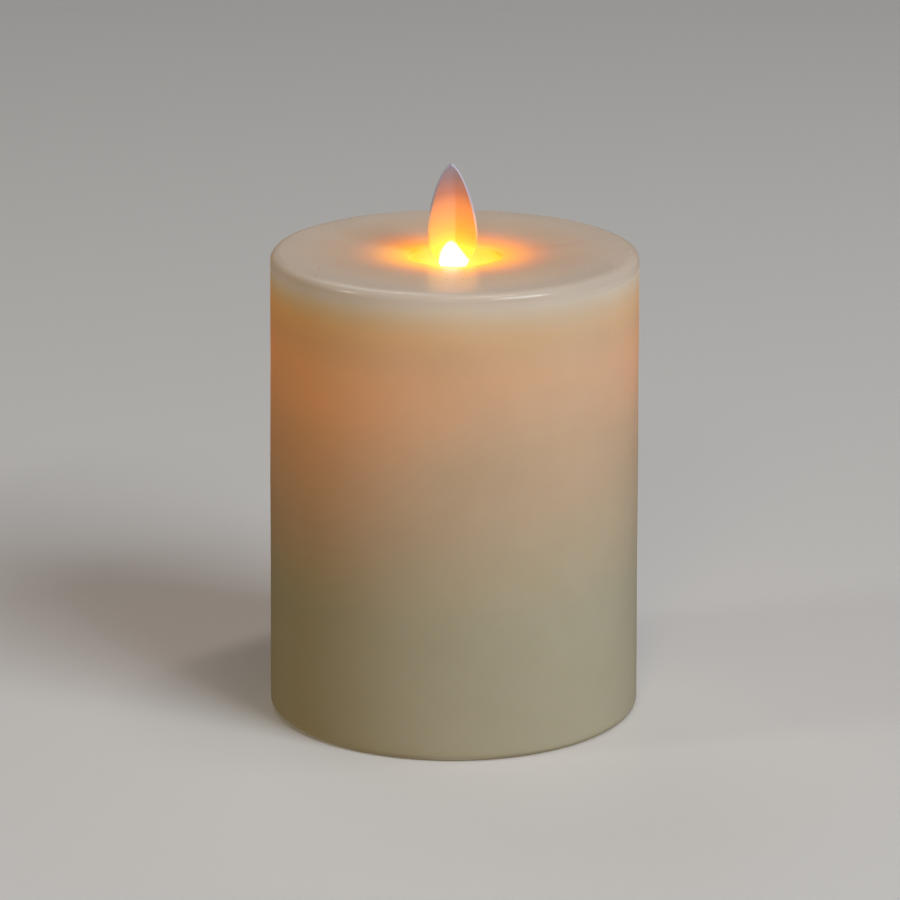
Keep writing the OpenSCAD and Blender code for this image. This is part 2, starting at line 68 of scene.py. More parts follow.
slot_of = {s["node"]: s["material_slot"] for s in frame["record"]["subparts"]}

# Heights and sizes that several pieces share
rim_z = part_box("wax_shell")[1].z
tip_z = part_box("flame_blade")[1].z
dish_depth = 0.0011
lip_z = rim_z - dish_depth

# Small air holes in the top of the wax: (place, radius)
PITS = [((-0.0298, -0.0170), 0.0005), ((0.0294, -0.0165), 0.0004), ((0.0354, -0.0119), 0.00045)]


# ---- materials ----

class Look:
    """One Principled material, with short calls for the nodes that feed it."""

    def __init__(self, name, **values):
        self.material = bpy.data.materials.new(name)
        self.material.use_nodes = True
        self.tree = self.material.node_tree
        self.surface = self.tree.nodes["Principled BSDF"]
        place = self.tree.nodes.new("ShaderNodeTexCoord")
        self.place = place.outputs["Object"]
        self.x, self.y, self.z = self.node("ShaderNodeSeparateXYZ", {0: self.place}).outputs
        self.facing = self.node("ShaderNodeSeparateXYZ", {0: place.outputs["Normal"]}).outputs
        for key, value in values.items():
            self.set(key.replace("_", " ").title().replace("Ior", "IOR"), value)

    def node(self, kind, inputs=None, **settings):
        made = self.tree.nodes.new(kind)
        for key, value in settings.items():
            setattr(made, key, value)
        for key, value in (inputs or {}).items():
            self.feed(made.inputs[key], value)
        return made

    def feed(self, socket, value):
        if isinstance(value, bpy.types.NodeSocket):
            self.tree.links.new(value, socket)
        elif socket.type == "RGBA" and len(value) == 3:
            socket.default_value = (*value, 1)
        else:
            socket.default_value = value

    def set(self, name, value):
        self.feed(self.surface.inputs[name], value)

    def math(self, operation, *values):
        return self.node("ShaderNodeMath", dict(enumerate(values)), operation=operation).outputs[0]

    def remap(self, value, low, high, to_low=0.0, to_high=1.0, smooth=True):
        """value from low..high becomes to_low..to_high, and is held past both ends."""
        if low > high:
            low, high, to_low, to_high = high, low, to_high, to_low
        kind = "SMOOTHSTEP" if smooth else "LINEAR"
        inputs = {0: value, 1: low, 2: high, 3: to_low, 4: to_high}
        return self.node("ShaderNodeMapRange", inputs, interpolation_type=kind).outputs[0]

    def both(self, *masks):
        """The product of masks."""
        product = masks[0]
        for mask in masks[1:]:
            product = self.math("MULTIPLY", product, mask)
        return product

    def moved(self, stretch, seed):
        inputs = {"Vector": self.place, "Location": (seed, seed, seed), "Scale": stretch}
        return self.node("ShaderNodeMapping", inputs).outputs[0]

    def noise(self, size, detail=2.0, stretch=(1, 1, 1), seed=0.0):
        """Noise whose features are about size metres across, 0 to 1."""
        inputs = {"Vector": self.moved(stretch, seed), "Scale": 1 / size, "Detail": detail}
        return self.node("ShaderNodeTexNoise", inputs).outputs[0]

    def cells(self, size, stretch=(1, 1, 1)):
        """Distance to the nearest of scattered points about size metres apart, in those units."""
        inputs = {"Vector": self.moved(stretch, 0.0), "Scale": 1 / size}
        return self.node("ShaderNodeTexVoronoi", inputs).outputs[0]

    def mix(self, amount, a, b, blend="MIX"):
        made = self.node("ShaderNodeMix", data_type="RGBA", blend_type=blend)
        for index, value in ((0, amount), (6, a), (7, b)):
            self.feed(made.inputs[index], value)
        return made.outputs[2]

    def add(self, a, b):
        return self.mix(1.0, a, b, "ADD")

    def times(self, a, b):
        return self.mix(1.0, a, b, "MULTIPLY")

    def grey(self, value):
        return self.node("ShaderNodeCombineXYZ", {0: value, 1: value, 2: value}).outputs[0]

    def ramp(self, value, low, high, *stops):
        """A colour for each value from low to high; each stop is (value, colour)."""
        share = self.remap(value, low, high, smooth=False)
        made = self.node("ShaderNodeValToRGB", {0: share})
        marks = made.color_ramp.elements
        while len(marks) < len(stops):
            marks.new(1.0)
        for mark, (at, colour) in zip(marks, sorted(stops, key=lambda s: (s[0] - low) / (high - low))):
            mark.position, mark.color = (at - low) / (high - low), (*colour, 1)
        return made.outputs[0]

    def bump(self, *layers):
        """Each layer is (height 0 to 1, depth in metres)."""
        normal = None
        for height, depth in layers:
            made = self.node("ShaderNodeBump", {"Height": height, "Distance": depth, "Strength": 1.0})
            if normal:
                self.feed(made.inputs["Normal"], normal)
            normal = made.outputs[0]
        self.set("Normal", normal)

    def reach(self, x=0.0, y=0.0):
        """Distance from an upright line through (x, y)."""
        sides = [self.math("SUBTRACT", self.x, x), self.math("SUBTRACT", self.y, y)]
        return self.math("SQRT", self.math("ADD", *[self.math("MULTIPLY", s, s) for s in sides]))


def halo(look):
    """Light that the lamp spreads round the opening: red all round, yellow towards the lamp's side."""
    # (millimetres from the middle of the glow, strength)
    red = [
        (9, 0.80), (10, 0.72), (13.3, 0.66), (15, 0.60), (16.5, 0.47), (18.4, 0.28), (20.2, 0.17),
        (22, 0.09), (24, 0.045), (27, 0.02), (36, 0),
    ]
    green = [
        (6, 0.66), (8, 0.55), (10, 0.42), (11, 0.355), (12, 0.29), (13, 0.23), (14, 0.18),
        (16, 0.10), (18, 0.045), (20, 0.015), (22, 0),
    ]
    red_stops = [(mm / 1000, (v, 0, 0)) for mm, v in red]
    green_stops = [(mm / 1000, (0, v, 0)) for mm, v in green]
    behind = look.grey(look.remap(look.y, 0.004, 0.012, 1.0, 0.75))
    yellow = look.ramp(look.reach(-0.0005, -0.0011), 0.006, 0.022, *green_stops)
    return look.add(
        look.ramp(look.reach(0, -0.0007), 0.009, 0.036, *red_stops),
        look.times(yellow, behind),
    )


def throat_glow(look):
    """Light on the walls and floor of the opening, stronger with depth."""
    return look.ramp(
        look.z, lip_z, lip_z - 0.008,
        (lip_z, (0.70, 0.24, 0.0)), (lip_z - 0.002, (0.75, 0.27, 0.0)), (lip_z - 0.004, (0.82, 0.38, 0.0)),
        (lip_z - 0.006, (0.90, 0.66, 0.01)), (lip_z - 0.008, (0.70, 0.40, 0.0)),
    )


def wax_look():
    """Ivory wax: a warm glow all through, strongest a little below the rim and round the opening."""
    look = Look("cast_wax", ior=1.44, subsurface_weight=0.3, subsurface_scale=0.004)
    look.set("Subsurface Radius", (1.0, 0.6, 0.35))
    below = look.math("SUBTRACT", rim_z, look.z)
    radius = look.reach()
    on_top = look.remap(below, 0.012, 0.001)
    mottle = look.noise(0.009, 3)
    side = look.mix(mottle, (0.58, 0.545, 0.415), (0.64, 0.605, 0.47))
    top = look.mix(mottle, (0.62, 0.58, 0.53), (0.68, 0.64, 0.59))
    # painted light: the top's colour turns yellow towards the opening, where the lamp's light falls
    lamp_tint = look.ramp(
        radius, 0.009, 0.036,
        (0.009, (1, 0.76, 0.22)), (0.014, (1, 0.84, 0.5)), (0.020, (1, 0.90, 0.75)), (0.036, (1, 1, 1)),
    )
    colour = look.mix(on_top, side, look.times(top, lamp_tint))
    # painted shade: the rim's rounded corner is darkened, and the band's glow lights it, so that it takes
    # less colour from the lamps outside and more from within, as translucent wax does
    near_rim = look.remap(radius, 0.031, 0.0400)
    rim_shade = look.both(near_rim, look.remap(below, 0.0026, 0.0008), 0.28)
    colour = look.mix(rim_shade, colour, (0, 0, 0))
    # painted shade: the hollow of each pit is darkened
    for (x, y), size in PITS:
        pit_shade = look.remap(look.reach(x, y), size * 1.1, size * 0.4, 0, 0.6)
        colour = look.mix(pit_shade, colour, (0.10, 0.07, 0.05))
    look.set("Base Color", colour)

    down = look.ramp(
        below, 0.0, 0.075,
        (0.0, (0.05, 0.012, 0.0)), (0.003, (0.07, 0.018, 0.0)), (0.0095, (0.20, 0.050, 0.0)),
        (0.019, (0.265, 0.054, 0.0)), (0.028, (0.22, 0.040, 0.0)), (0.034, (0.165, 0.030, 0.0)),
        (0.040, (0.125, 0.020, 0.0)), (0.055, (0.06, 0.008, 0.0)), (0.074, (0.0, 0.0, 0.0)),
    )
    # daylight that enters the top and leaves the side just below the rim
    band = look.ramp(
        below, 0.0, 0.014,
        (0.0, (0.08, 0.078, 0.07)), (0.0012, (0.10, 0.10, 0.09)), (0.003, (0.11, 0.115, 0.105)),
        (0.005, (0.09, 0.09, 0.055)),
        (0.007, (0.065, 0.05, 0.02)), (0.010, (0.04, 0.02, 0.0)), (0.014, (0.0, 0.0, 0.0)),
    )
    down = look.add(down, look.times(band, look.grey(near_rim)))
    uneven = look.remap(look.noise(0.034, 2, seed=4.0), 0.25, 0.75, 0.82, 1.15)
    glow = look.add(look.times(down, look.grey(uneven)), (0.055, 0.028, 0.0))
    in_throat = look.remap(radius, 0.0106, 0.0101)
    bright = look.add(glow, look.mix(in_throat, halo(look), throat_glow(look)))
    # the lamp stands close to the front of the opening and lights its lip most
    front_lip = look.both(look.remap(radius, 0.0110, 0.0104), look.remap(look.y, -0.0005, -0.006))
    bright = look.add(bright, look.times((0.25, 0.50, 0.0), look.grey(front_lip)))
    # painted light: a warm glow on the top, in front of the opening
    spill = look.remap(look.reach(0.005, -0.025), 0.024, 0.004)
    bright = look.add(bright, look.times((0.06, 0.03, 0.012), look.grey(look.both(spill, on_top))))
    look.set("Emission Color", look.mix(look.remap(below, 0.020, 0.006), glow, bright))
    look.set("Emission Strength", 1.0)

    glossy = look.remap(below, 0.0045, 0.0012, 0.42, 0.30)
    rim_line = look.both(look.remap(below, 0.0040, 0.0026), look.remap(radius, 0.0385, 0.0395), -0.15)
    worn = look.remap(look.noise(0.0035, 4), 0.2, 0.8, -0.03, 0.04)
    look.set("Roughness", look.math("ADD", look.math("ADD", glossy, rim_line), worn))
    look.set("Specular IOR Level", look.remap(below, 0.006, 0.0015, 0.28, 0.5))
    look.bump((look.noise(0.0014, 2), 0.000006), (look.noise(0.006, 2, seed=2.0), 0.00003))
    return look.material


def flame_look():
    """Frosted sheet lit from its foot: white where the beam lands, then yellow, orange and mauve."""
    look = Look("lit_flame_sheet", ior=1.46, roughness=0.38)
    edge = look.node("ShaderNodeAttribute", attribute_name="edge").outputs["Fac"]
    low = rim_z - 0.0045
    # the beam ends in an arch, which is lower at the leaf's sides
    arch = look.math("ADD", look.z, look.math("MULTIPLY", look.math("MULTIPLY", look.x, look.x), 80.0))
    # painted light: the pale sheet's colour is painted orange low down, where the beam lights it, greying to
    # mauve at the tip
    face = look.ramp(
        look.z, low, tip_z,
        (low, (0.5, 0.30, 0.06)), (rim_z + 0.006, (0.42, 0.26, 0.10)), (rim_z + 0.013, (0.40, 0.27, 0.23)),
        (tip_z, (0.44, 0.42, 0.52)),
    )
    # painted highlight: the leaf's upper edges are pale lavender, most on the right, where they face the key
    # lamp
    high = look.remap(look.z, rim_z + 0.002, rim_z + 0.009)
    pale = look.both(edge, high, look.remap(look.x, -0.002, 0.002, 0.7, 1.0))
    look.set("Base Color", look.mix(pale, face, (0.64, 0.60, 0.70)))
    glow = look.ramp(
        arch, low, tip_z,
        (low, (1.4, 1.05, 0.08)), (rim_z + 0.0010, (1.2, 0.92, 0.06)), (rim_z + 0.0025, (1.05, 0.66, 0.06)),
        (rim_z + 0.005, (0.95, 0.41, 0.07)), (rim_z + 0.008, (0.86, 0.28, 0.08)),
        (rim_z + 0.0107, (0.70, 0.19, 0.06)), (rim_z + 0.0135, (0.34, 0.07, 0.035)),
        (rim_z + 0.0165, (0.12, 0.025, 0.025)), (tip_z, (0.01, 0.01, 0.02)),
    )
    # painted shade: the glow on the leaf's right half is dimmer and more orange, as that half turns from the
    # key lamp
    right = look.remap(look.x, -0.0001, 0.0005)
    right = look.both(right, look.remap(look.z, rim_z - 0.001, rim_z + 0.003))
    glow = look.mix(right, glow, look.times(glow, (0.98, 0.74, 0.25)))
    cooling = look.remap(look.z, rim_z + 0.004, rim_z + 0.011)
    edge_glow = look.mix(cooling, (0.75, 0.27, 0.08), (0.05, 0.04, 0.06))
    glow = look.mix(look.both(edge, look.remap(look.z, rim_z + 0.001, rim_z + 0.004)), glow, edge_glow)
    # the stem and tail, below the lamp's beam, stay dark
    in_beam = look.grey(look.remap(look.z, rim_z - 0.011, rim_z - 0.007))
    look.set("Emission Color", look.times(look.mix(beam_spot(look), glow, (2.2, 2.1, 1.7)), in_beam))
    look.set("Emission Strength", 1.0)
    look.bump((look.noise(0.0005, 2), 0.00001))
    return look.material


def beam_spot(look):
    """Mask of the blunt, skewed triangle where the lamp's beam lands on the flame."""
    up = look.math("SUBTRACT", look.z, rim_z)
    slope, soft = 0.8, 0.0006
    right = look.math("ADD", look.x, look.math("MULTIPLY", up, slope))
    left = look.math("SUBTRACT", look.x, look.math("MULTIPLY", up, slope))
    foot = look.math("SUBTRACT", look.x, look.math("MULTIPLY", up, 0.15))
    return look.both(
        look.remap(right, 0.0014 + soft, 0.0014 - soft),
        look.remap(left, -0.0029 - soft, -0.0029 + soft),
        look.remap(foot, -0.0029 - soft, -0.0029 + soft),
        look.remap(up, 0.0026, 0.0012),
    )


def moulded_look(name, colour, roughness=0.45, grain=0.0006, depth=0.00003, **values):
    """Moulded plastic: a fine spark grain, faint flow clouds and slightly rubbed places."""
    look = Look(name, **values)
    look.set("Base Color", look.mix(look.noise(0.012, 2), tuple(c * 0.88 for c in colour), colour))
    look.set("Roughness", look.remap(look.noise(0.004, 3), 0.25, 0.75, roughness - 0.06, roughness + 0.08))
    look.bump((look.noise(grain, 2), depth))
    return look.material


def metal_look(name, colour, roughness=0.3, along=(1, 1, 12), grain=0.0015):
    """Drawn or plated metal: streaks along one way and small dull spots."""
    look = Look(name, metallic=1.0)
    streaks = look.noise(grain, 3, stretch=along)
    spots = look.remap(look.noise(0.0028, 3, seed=7.0), 0.4, 0.8)
    look.set("Base Color", look.mix(spots, colour, tuple(c * 0.7 for c in colour)))
    look.set("Roughness", look.remap(streaks, 0.2, 0.8, roughness - 0.07, roughness + 0.1))
    look.bump((streaks, 0.000006))
    return look.material


def cup_look():
    """Milky plastic round the lamp, lit through."""
    look = Look("milky_cup", roughness=0.3, ior=1.49)
    look.set("Base Color", look.mix(look.noise(0.006, 2), (0.80, 0.72, 0.56), (0.88, 0.80, 0.64)))
    beam = look.ramp(
        look.reach(0, -0.004), 0.002, 0.016,
        (0.002, (1.2, 0.85, 0.12)), (0.006, (0.95, 0.5, 0.04)), (0.011, (0.65, 0.2, 0.01)),
        (0.016, (0.2, 0.04, 0)),
    )
    look.set("Emission Color", beam)
    look.set("Emission Strength", 1.0)
    look.bump((look.noise(0.0008, 2), 0.00001))
    return look.material


def lamp_look():
    """Warm epoxy lens that is brightest at its tip."""
    look = Look("lamp_lens", roughness=0.12, ior=1.52, coat_weight=0.4)
    low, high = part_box("led_lamp")
    look.set("Base Color", look.mix(look.noise(0.002, 2), (0.85, 0.74, 0.45), (0.92, 0.82, 0.55)))
    look.set("Emission Color", look.ramp(
        look.z, low.z, high.z,
        (low.z, (0.25, 0.12, 0.03)), (low.z + 0.005, (0.7, 0.4, 0.1)), (high.z, (2.2, 1.8, 1.1)),
    ))
    look.set("Emission Strength", 1.0)
    return look.material


def board_look():
    """Green solder mask over fine copper tracks, with bare fibreglass at the edges."""
    look = Look("solder_mask", coat_weight=0.2)
    flat = look.node("ShaderNodeCombineXYZ", {0: look.y, 1: look.z, 2: 0.0}).outputs[0]
    inputs = {
        "Vector": flat, "Scale": 1.0, "Mortar Size": 0.00014,
        "Brick Width": 0.0047, "Row Height": 0.0021,
    }
    tracks = look.node("ShaderNodeTexBrick", inputs).outputs["Fac"]
    vias = look.remap(look.cells(0.0035), 0.10, 0.07)
    mask = look.mix(look.noise(0.008, 2), (0.012, 0.11, 0.045), (0.02, 0.15, 0.06))
    mask = look.mix(look.both(tracks, 0.7), mask, (0.05, 0.27, 0.10))
    mask = look.mix(vias, mask, (0.55, 0.52, 0.42))
    side = look.remap(look.math("ABSOLUTE", look.facing[0]), 0.6, 0.4)
    look.set("Base Color", look.mix(side, mask, (0.42, 0.38, 0.20)))
    look.set("Metallic", look.both(vias, look.remap(side, 1, 0)))
    look.set("Roughness", look.remap(look.noise(0.003, 3), 0.2, 0.8, 0.24, 0.4))
    look.bump((tracks, 0.00003))
    return look.material


def cell_look():
    """Charcoal sleeve shrunk over a steel can, with bare steel at both poles."""
    look = Look("cell_sleeve", ior=1.5)
    low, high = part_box("battery_front")
    centre_y, centre_z = (low.y + high.y) / 2, (low.z + high.z) / 2
    off_y = look.math("ADD", look.math("ABSOLUTE", look.y), centre_y)
    off_z = look.math("SUBTRACT", look.z, centre_z)
    squares = [look.math("MULTIPLY", v, v) for v in (off_y, off_z)]
    bare = look.remap(look.math("SQRT", look.math("ADD", *squares)), 0.0062, 0.0060)
    sleeve = look.mix(look.noise(0.01, 2, stretch=(0.3, 1, 1)), (0.035, 0.04, 0.045), (0.055, 0.06, 0.065))
    steel = look.mix(look.remap(look.noise(0.002, 3), 0.4, 0.8), (0.62, 0.61, 0.58), (0.42, 0.41, 0.39))
    look.set("Base Color", look.mix(bare, sleeve, steel))
    look.set("Metallic", bare)
    look.set("Roughness", look.remap(look.noise(0.003, 3), 0.2, 0.8, 0.24, 0.38))
    look.bump((look.noise(0.0009, 2), 0.000012))
    return look.material


def capacitor_look():
    """Dark blue sleeve with one pale stripe, and a bare vented top."""
    look = Look("capacitor_sleeve", ior=1.5)
    low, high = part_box("board_capacitor")
    top = look.remap(look.x, high.x - 0.0003, high.x - 0.0001)
    stripe = look.remap(look.z, low.z + 0.0012, low.z + 0.0009)
    sleeve = look.mix(look.noise(0.004, 2), (0.02, 0.03, 0.10), (0.03, 0.045, 0.14))
    look.set("Base Color", look.mix(top, look.mix(stripe, sleeve, (0.5, 0.52, 0.55)), (0.7, 0.7, 0.7)))
    look.set("Metallic", top)
    look.set("Roughness", look.remap(look.noise(0.002, 2), 0.2, 0.8, 0.25, 0.4))
    look.bump((look.noise(0.0007, 2), 0.00001))
    return look.material


def build_looks():
    """The material of every slot."""
    return {
        "wax": wax_look(),
        "flame_plastic": flame_look(),
        "clear_plastic": cup_look(),
        "lamp": lamp_look(),
        "board": board_look(),
        "cell_wrap": cell_look(),
        "capacitor_sleeve": capacitor_look(),
        "magnet": metal_look("nickel_plate", (0.66, 0.65, 0.62), 0.16, along=(1, 1, 1)),
        "steel_wire": metal_look("drawn_steel", (0.58, 0.58, 0.57), 0.25, along=(3, 3, 3), grain=0.0008),
        "screw_steel": metal_look("zinc_plate", (0.60, 0.61, 0.63), 0.30, along=(6, 6, 6), grain=0.001),
        "copper_wire": metal_look("enamelled_copper", (0.66, 0.27, 0.11), 0.28, along=(1, 1, 9), grain=0.002),
        "tin": metal_look("tin_plate", (0.66, 0.66, 0.64), 0.34, along=(1, 1, 4), grain=0.0012),
        "contact_plate": metal_look(
            "nickel_spring_steel", (0.62, 0.60, 0.55), 0.28, along=(1, 9, 1), grain=0.003),
        "switch_can": metal_look("pressed_steel", (0.60, 0.60, 0.59), 0.32, along=(9, 1, 1), grain=0.002),
        "core_plastic": moulded_look("white_core_plastic", (0.74, 0.72, 0.67), 0.42, depth=0.00002),
        "bobbin_plastic": moulded_look("white_bobbin_plastic", (0.76, 0.75, 0.70), 0.38, depth=0.00001),
        "base_plastic": moulded_look(
            "cream_base_plastic", (0.66, 0.60, 0.48), 0.50, grain=0.0005, depth=0.00004),
        "switch_knob": moulded_look("black_knob_plastic", (0.022, 0.022, 0.024), 0.42, depth=0.00002),
        "chip_black": moulded_look("black_epoxy", (0.02, 0.02, 0.021), 0.55, grain=0.0003, depth=0.00001),
        "red_wire": moulded_look("red_insulation", (0.46, 0.02, 0.018), 0.33, grain=0.002, depth=0.00001),
        "black_wire": moulded_look(
            "black_insulation", (0.014, 0.014, 0.015), 0.33, grain=0.002, depth=0.00001),
        "white_wire": moulded_look("white_insulation", (0.70, 0.69, 0.66), 0.35, grain=0.002, depth=0.00001),
    }


def finish_cad(name, material, bevel, rounds):
    """Gives a CAD node its material and, as modifiers, softened edges or rounded facets."""
    piece = nodes[name]
    piece.data.materials.clear()
    piece.data.materials.append(material)
    piece.modifiers.new("weld", "WELD").merge_threshold = 0.000002
    if bevel:
        soft = piece.modifiers.new("edges", "BEVEL")
        soft.width, soft.segments, soft.angle_limit = bevel, 2, math.radians(40)
        soft.harden_normals = True
    if rounds:
        round_off = piece.modifiers.new("round", "SUBSURF")
        round_off.levels = round_off.render_levels = rounds


# ---- mesh helpers ----

def add_piece(name, mesh, node):
    """Puts a mesh in the scene as the piece that stands for a CAD node."""
    piece = bpy.data.objects.new(name, mesh)
    bpy.context.scene.collection.objects.link(piece)
    mesh.materials.append(looks[slot_of[node]])
    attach(piece, nodes[node]["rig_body"])
    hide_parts(node)
    return piece


def mesh_from(name, points, faces, sharp=35):
    """A closed mesh with smooth faces, and sharp edges past an angle in degrees."""
    mesh = bpy.data.meshes.new(name)
    mesh.from_pydata(points, [], faces)
    work = bmesh.new()
    work.from_mesh(mesh)
    bmesh.ops.remove_doubles(work, verts=work.verts, dist=1e-7)
    bmesh.ops.recalc_face_normals(work, faces=work.faces)
    work.to_mesh(mesh)
    work.free()
    return shade(mesh, sharp)


def shade(mesh, sharp):
    mesh.shade_smooth()
    mesh.set_sharp_from_angle(angle=math.radians(sharp))
    return mesh


def tube(rings, closed_ends=True):
    """Points and faces of a skin over rings that all have the same number of points."""
    count = len(rings[0])
    points = [p for ring in rings for p in ring]
    faces = []
    last = len(rings) - (1 if closed_ends else 0)
    for j in range(last):
        here, there = j * count, (j + 1) % len(rings) * count
        for i in range(count):
            k = (i + 1) % count
            faces.append((here + i, here + k, there + k, there + i))
    if closed_ends:
        faces += [tuple(range(count - 1, -1, -1)), tuple(range((len(rings) - 1) * count, len(rings) * count))]
    return points, faces


def revolve(name, section, segments, sharp=35):
    """section(angle) gives a closed loop of (radius, height) points, in metres."""
    rings = []
    for k in range(segments):
        angle = 2 * math.pi * k / segments
        rings.append([(r * math.cos(angle), r * math.sin(angle), z) for r, z in section(angle)])
    return mesh_from(name, *tube(rings, closed_ends=False), sharp)


def turned(name, profile, segments, sharp=35):
    """A solid turned from a profile of (radius, height) that starts and ends on the axis."""
    rings = []
    for r, z in profile[1:-1]:
        angles = [2 * math.pi * k / segments for k in range(segments)]
        rings.append([(r * math.cos(a), r * math.sin(a), z) for a in angles])
    return mesh_from(name, *tube(rings), sharp)


def arc(centre, radius, start, end, steps):
    """Points from start to end degrees, both included."""
    angles = [math.radians(start + (end - start) * i / steps) for i in range(steps + 1)]
    return [(centre[0] + radius * math.cos(a), centre[1] + radius * math.sin(a)) for a in angles]


def line(start, end, steps):
    """Points after start up to and with end."""
    return [tuple(a + (b - a) * i / steps for a, b in zip(start, end)) for i in range(1, steps + 1)]


def combined(mesh, *steps):
    """mesh after each (operation, other mesh), as one solid."""
    host = bpy.data.objects.new("host", mesh)
    bpy.context.scene.collection.objects.link(host)
    tools = []
    for operation, other in steps:
        tool = bpy.data.objects.new("tool", other)
        bpy.context.scene.collection.objects.link(tool)
        step = host.modifiers.new("step", "BOOLEAN")
        step.operation, step.object, step.solver = operation, tool, "EXACT"
        tools.append(tool)
    bpy.context.view_layer.update()
    result = bpy.data.meshes.new_from_object(host.evaluated_get(bpy.context.evaluated_depsgraph_get()))
    for scrap in [host] + tools:
        bpy.data.objects.remove(scrap)
    return result


# ---- wax ----

def wax_sizes():
    """The wax's few driving sizes, nearly all read from the CAD solid."""
    reach = [(math.hypot(v.co.x, v.co.y), v.co.z) for v in nodes["wax_shell"].data.vertices]
    throat = min(r for r, z in reach)
    return {
        "foot_r": max(r for r, z in reach),
        "rim_r": max(r for r, z in reach if z > rim_z - 0.002),
        "throat_r": throat,
        "roof_z": min(z for r, z in reach if r < throat + 1e-5),
        "seat_r": min(r for r, z in reach if z < 1e-5),
        "cavity_r": max(r for r, z in reach if r < 0.036),
        "ledge_z": 0.012,
    }


def waver(angle, z, scale, seed):
    """Smooth unevenness of about -1 to 1 round the pillar and along it."""
    return noise.noise(Vector((math.cos(angle) * scale, math.sin(angle) * scale, z * scale / 0.04 + seed)))


def uneven_side(angle, z):
    """How far the side stands proud of true at one place; the foot is true."""
    swell = 0.00009 * waver(angle, z, 1.8, 0) + 0.000015 * waver(angle, z, 7, 1)
    return swell * min(1, z / 0.004)


def wax_mesh():
    size = wax_sizes()
    foot_round, lip_round, corner = 0.0015, 0.0009, 0.006
    nick_angle, nick_depth, nick_width = math.radians(127.5), 0.00022, 0.03

    def outside(angle, top):
        """From the seat of the base round the foot, up the side and over the rim's soft corner."""
        rim_round = 0.0022 + 0.0004 * waver(angle, 0, 3.0, 3)
        rim_r = size["rim_r"] + 0.0001 * waver(angle, 0, 1.6, 5)
        foot_r = size["foot_r"]
        loop = line((size["seat_r"], 0), (foot_r - foot_round, 0), 3)
        loop += arc((foot_r - foot_round, foot_round), foot_round, -90, 0, 8)[1:]
        loop += line(loop[-1], (rim_r, top - rim_round), 84)
        loop = [(r + uneven_side(angle, z), z) for r, z in loop]
        # a superellipse, which turns over more gently than a circle
        start_r, inward, power, steps = loop[-1][0], rim_round * 1.35, 2 / 2.6, 16
        for i in range(1, steps + 1):
            across, up = [(f(math.pi / 2 * i / steps) + 1e-9) ** power for f in (math.cos, math.sin)]
            loop.append((start_r - inward + inward * across, top - rim_round + rim_round * up))
        return loop

    def dish(angle, top, nick, start_r):
        """From the rim down to the lip of the opening."""
        end_r, steps, loop = size["throat_r"] + lip_round, 44, []
        for i in range(1, steps + 1):
            s = i / steps
            r = start_r + (end_r - start_r) * s
            fall = dish_depth * (0.15 * s + 0.85 * s * s) + nick * math.exp(-s * 20)
            loop.append((r, top - fall + 0.00004 * waver(angle, r, 3, 11) * (1 - s)))
        return loop

    def section(angle):
        top = rim_z + 0.00010 * waver(angle, 0, 2.2, 9)
        past_nick = (angle - nick_angle) / nick_width
        nick = nick_depth / (1 + math.exp(-past_nick * 4)) * math.exp(-max(past_nick, 0) * 0.25)
        loop = outside(angle, top - nick)
        loop += dish(angle, top, nick, loop[-1][0])
        throat_r, wall, roof = size["throat_r"], size["cavity_r"], size["roof_z"]
        loop += arc((throat_r + lip_round, loop[-1][1] - lip_round), lip_round, 90, 180, 10)[1:]
        loop += line(loop[-1], (throat_r, roof), 12)
        loop += line(loop[-1], (wall - corner, roof), 8)
        loop += arc((wall - corner, roof - corner), corner, 90, 0, 8)[1:]
        loop += line(loop[-1], (wall, size["ledge_z"]), 12)
        loop += line(loop[-1], (size["seat_r"], size["ledge_z"]), 2)
        return loop + line(loop[-1], (size["seat_r"], 0), 3)

    return revolve("wax_pillar", section, 256)


def dent(mesh, pits):
    """Sinks small pits in the top, after splitting the faces round each one."""
    work = bmesh.new()
    work.from_mesh(mesh)
    floor = rim_z - 0.004
    for (x, y), radius in pits:
        def away(vert):
            return math.hypot(vert.co.x - x, vert.co.y - y)

        def inside(edge, reach):
            return edge.verts[0].co.z > floor and all(away(v) < reach for v in edge.verts)

        for reach in (5 * radius, 3 * radius, 2 * radius):
            near = [e for e in work.edges if inside(e, reach)]
            if near:
                bmesh.ops.subdivide_edges(work, edges=near, cuts=1, use_grid_fill=True)
        for v in work.verts:
            if v.co.z > floor and away(v) < 2 * radius:
                v.co.z -= radius * 0.9 * math.exp(-((away(v) / (radius * 0.6)) ** 2))
    work.to_mesh(mesh)
    work.free()
    return shade(mesh, 50)


# ---- flame ----

def leaf_half(z, length, width, foot_half, widest):
    """Half-width of the leaf at height z above its foot."""
    if z > widest:
        return width / 2 * (1 - min(1, (z - widest) / (length - widest)) ** 1.75) ** 0.68
    return foot_half + (width / 2 - foot_half) * (1 + math.cos(math.pi * (1 - max(z, 0) / widest) ** 1.1)) / 2


def blade_ring(z, half, thick, cup, crease_x):
    """One level section of the blade: round edges, and in the leaf two cupped sides that meet in a crease."""
    turn, fold, curl, across, corner = math.tan(math.radians(8)), 0.15, 12, 14, 6
    edge = thick / 2 * 0.8
    flat = max(half - edge, 0.00005)

    def middle(x):
        crease = math.sqrt((x - crease_x) ** 2 + 0.00012 ** 2) - 0.00012
        return -cup * (fold * crease + curl * x * x + turn * x)

    def side(sign):
        xs = [flat * math.sin(math.pi / 2 * (2 * i / across - 1)) for i in range(across + 1)]
        return [(x, middle(x) + sign * thick / 2 * (1 - 0.2 * (x / flat) ** 2)) for x in xs]

    def end(sign):
        angles = [sign * (math.pi * i / corner - math.pi / 2) for i in range(1, corner)]
        out = edge * min(1, half / edge)
        return [(sign * (flat + out * math.cos(a)), middle(sign * flat) + edge * math.sin(a)) for a in angles]

    ring = side(-1) + end(1) + side(1)[::-1] + end(-1)
    return [(x, y, z) for x, y in ring]


